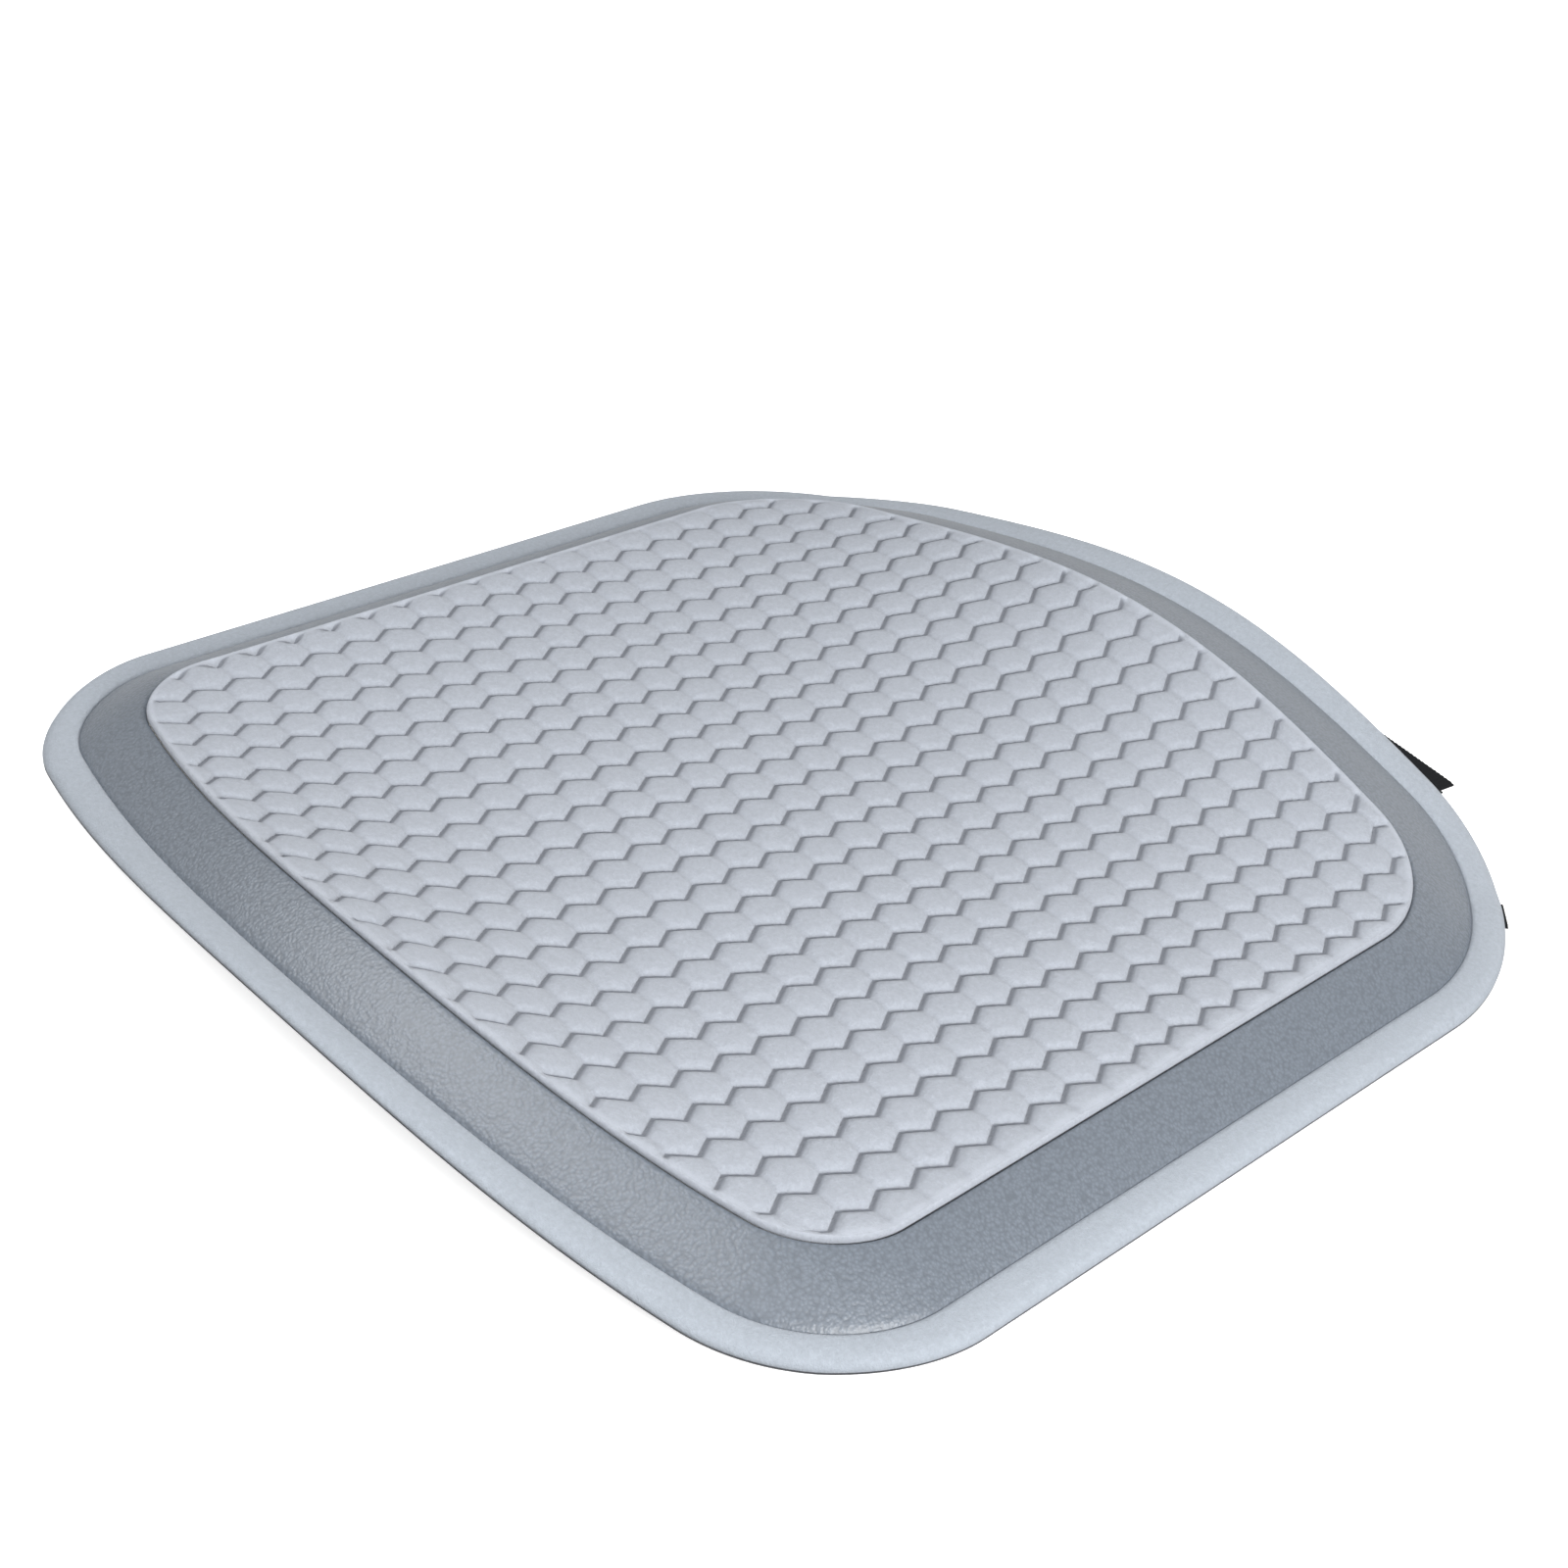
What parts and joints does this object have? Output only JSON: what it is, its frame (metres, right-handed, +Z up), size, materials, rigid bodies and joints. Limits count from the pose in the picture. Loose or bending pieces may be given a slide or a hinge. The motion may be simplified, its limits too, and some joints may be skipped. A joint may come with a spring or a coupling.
{
  "type": "seat cushion",
  "caption": "Thin contoured seat cushion with a honeycomb suede panel, sloping leather band, soft flat rim, anti-slip underside and a rear elastic strap.",
  "frame": {"origin": "middle of the rim's outline in plan, on the flat middle of the underside", "axes": "+X to the right as seen from the front edge, -Y towards the front edge, +Z up"},
  "size_m": [0.4425, 0.4596, 0.0455],
  "materials": {
    "suede_panel": "light grey microfibre suede, hot-embossed, matt",
    "pressed_edge": "same suede pressed smooth, matt",
    "leather_band": "grained grey PU leather, semi-matt",
    "rim_suede": "pale blue-grey suede, smooth, matt",
    "memory_foam": "open-cell foam",
    "support_foam": "open-cell foam, firmer",
    "base_cloth": "dark anti-slip cloth with small raised rubber dots",
    "webbing": "black woven elastic"
  },
  "bodies": {
    "cushion": {"honeycomb_top_panel": "suede_panel", "panel_edge_welt": "pressed_edge", "side_band": "leather_band", "rim_cover": "rim_suede", "comfort_foam": "memory_foam", "support_foam": "support_foam", "rim_filler": "support_foam", "base_cloth": "base_cloth", "strap_anchor_left": "webbing", "strap_anchor_right": "webbing", "corner_tab_left": "webbing", "corner_tab_right": "webbing"},
    "strap": {"rear_strap": "webbing"}
  },
  "joints": [
    {"name": "strap_swing", "type": "hinge", "parent": "cushion", "child": "strap", "pos_m": [0, 0.22647, 0.00962], "axis": [1, 0, 0], "range_deg": [0, 180]}
  ]
}
